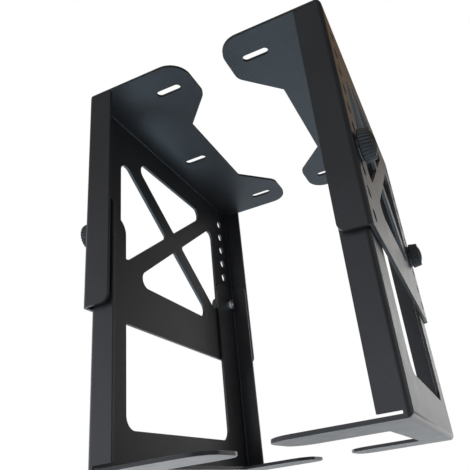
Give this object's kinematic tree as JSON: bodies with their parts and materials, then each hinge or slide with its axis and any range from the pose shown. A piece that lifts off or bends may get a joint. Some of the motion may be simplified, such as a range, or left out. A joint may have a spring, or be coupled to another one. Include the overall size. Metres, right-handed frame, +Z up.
{
  "type": "cpu holder",
  "caption": "Under-desk computer holder: facing folded-steel brackets, each with a height-adjustable lower bracket held by ribbed thumbscrews.",
  "frame": {"origin": "in the plane of the desk's underside, at the centre of the four ear slots", "axes": "+X across from the left bracket to the right one, +Y from front to rear, +Z up into the desk"},
  "size_m": [0.27, 0.285, 0.346],
  "materials": {
    "powder_coat": "fine-textured satin black powder coat on steel sheet",
    "knob_plastic": "moulded black plastic, matt",
    "zinc_steel": "bright zinc plated steel",
    "black_washer": "black zinc plated steel, satin"
  },
  "bodies": {
    "desk_brackets": {"left_upper_bracket": "powder_coat", "right_upper_bracket": "powder_coat"},
    "left_lower": {"left_lower_bracket": "powder_coat", "left_front_clinch_nut": "zinc_steel", "left_rear_clinch_nut": "zinc_steel"},
    "right_lower": {"right_lower_bracket": "powder_coat", "right_front_clinch_nut": "zinc_steel", "right_rear_clinch_nut": "zinc_steel"},
    "left_front_washer_ring": {"left_front_washer": "black_washer"},
    "left_front_thumbscrew": {"left_front_knob": "knob_plastic", "left_front_stud": "zinc_steel"},
    "left_rear_washer_ring": {"left_rear_washer": "black_washer"},
    "left_rear_thumbscrew": {"left_rear_knob": "knob_plastic", "left_rear_stud": "zinc_steel"},
    "right_front_washer_ring": {"right_front_washer": "black_washer"},
    "right_front_thumbscrew": {"right_front_knob": "knob_plastic", "right_front_stud": "zinc_steel"},
    "right_rear_washer_ring": {"right_rear_washer": "black_washer"},
    "right_rear_thumbscrew": {"right_rear_knob": "knob_plastic", "right_rear_stud": "zinc_steel"}
  },
  "joints": [
    {"name": "left_height", "type": "slide", "parent": "desk_brackets", "child": "left_lower", "axis": [0, 0, 1], "range_m": [-0.06, 0.06]},
    {"name": "right_height", "type": "slide", "parent": "desk_brackets", "child": "right_lower", "axis": [0, 0, 1], "range_m": [-0.06, 0.06]},
    {"name": "left_front_screw_travel", "type": "slide", "parent": "left_lower", "child": "left_front_washer_ring", "axis": [-1, 0, 0], "range_m": [0, 0.00875]},
    {"name": "left_front_screw_turn", "type": "hinge", "parent": "left_front_washer_ring", "child": "left_front_thumbscrew", "pos_m": [-0.121, -0.1215, -0.1455], "axis": [-1, 0, 0], "range_deg": [0, 2520.5]},
    {"name": "left_rear_screw_travel", "type": "slide", "parent": "left_lower", "child": "left_rear_washer_ring", "axis": [-1, 0, 0], "range_m": [0, 0.00875]},
    {"name": "left_rear_screw_turn", "type": "hinge", "parent": "left_rear_washer_ring", "child": "left_rear_thumbscrew", "pos_m": [-0.121, 0.1215, -0.1455], "axis": [-1, 0, 0], "range_deg": [0, 2520.5]},
    {"name": "right_front_screw_travel", "type": "slide", "parent": "right_lower", "child": "right_front_washer_ring", "axis": [1, 0, 0], "range_m": [0, 0.00875]},
    {"name": "right_front_screw_turn", "type": "hinge", "parent": "right_front_washer_ring", "child": "right_front_thumbscrew", "pos_m": [0.121, -0.1215, -0.1455], "axis": [1, 0, 0], "range_deg": [0, 2520.5]},
    {"name": "right_rear_screw_travel", "type": "slide", "parent": "right_lower", "child": "right_rear_washer_ring", "axis": [1, 0, 0], "range_m": [0, 0.00875]},
    {"name": "right_rear_screw_turn", "type": "hinge", "parent": "right_rear_washer_ring", "child": "right_rear_thumbscrew", "pos_m": [0.121, 0.1215, -0.1455], "axis": [1, 0, 0], "range_deg": [0, 2520.5]}
  ],
  "couplings": [
    {"joint": "left_front_screw_turn", "follows": "left_front_screw_travel", "rad_per_m": 5026.5},
    {"joint": "left_rear_screw_turn", "follows": "left_rear_screw_travel", "rad_per_m": 5026.5},
    {"joint": "right_front_screw_turn", "follows": "right_front_screw_travel", "rad_per_m": 5026.5},
    {"joint": "right_rear_screw_turn", "follows": "right_rear_screw_travel", "rad_per_m": 5026.5}
  ]
}
